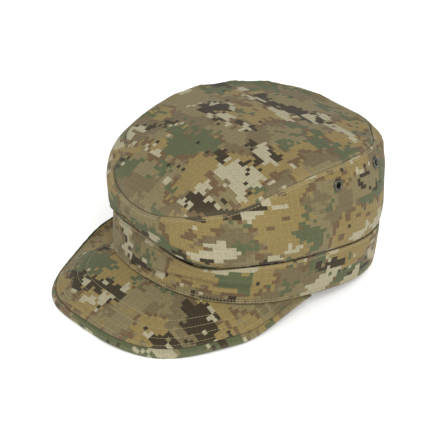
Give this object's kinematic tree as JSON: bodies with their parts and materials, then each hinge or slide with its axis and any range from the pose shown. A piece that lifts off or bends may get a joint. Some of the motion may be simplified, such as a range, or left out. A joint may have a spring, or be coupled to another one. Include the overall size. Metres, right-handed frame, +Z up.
{
  "type": "patrol cap",
  "caption": "Soft cloth cap with a flat oval crown that slumps towards the front, a doubled head band, a stiff curved peak and small air eyelets in its sides.",
  "frame": {"origin": "on the surface that the cap rests on, under the middle of its bounding box", "axes": "+Z up, -Y towards the peak, +X towards the wearer's left"},
  "size_m": [0.1842, 0.2594, 0.124],
  "materials": {
    "crown_cloth": "matte ripstop with a printed pixel camouflage in tan, taupe, brown and green",
    "band_cloth": "matte doubled ripstop with the same print, hems stitched",
    "peak_cloth": "matte ripstop over a stiff board, stitched in rows along the rim",
    "eyelet_metal": "dull dark oxidised metal"
  },
  "bodies": {
    "root": {"crown_top": "crown_cloth", "crown_wall": "crown_cloth", "band": "band_cloth", "peak": "peak_cloth", "peak_under": "peak_cloth", "eyelet_left_front": "eyelet_metal", "eyelet_left_rear": "eyelet_metal", "eyelet_right_front": "eyelet_metal", "eyelet_right_rear": "eyelet_metal"}
  },
  "joints": []
}
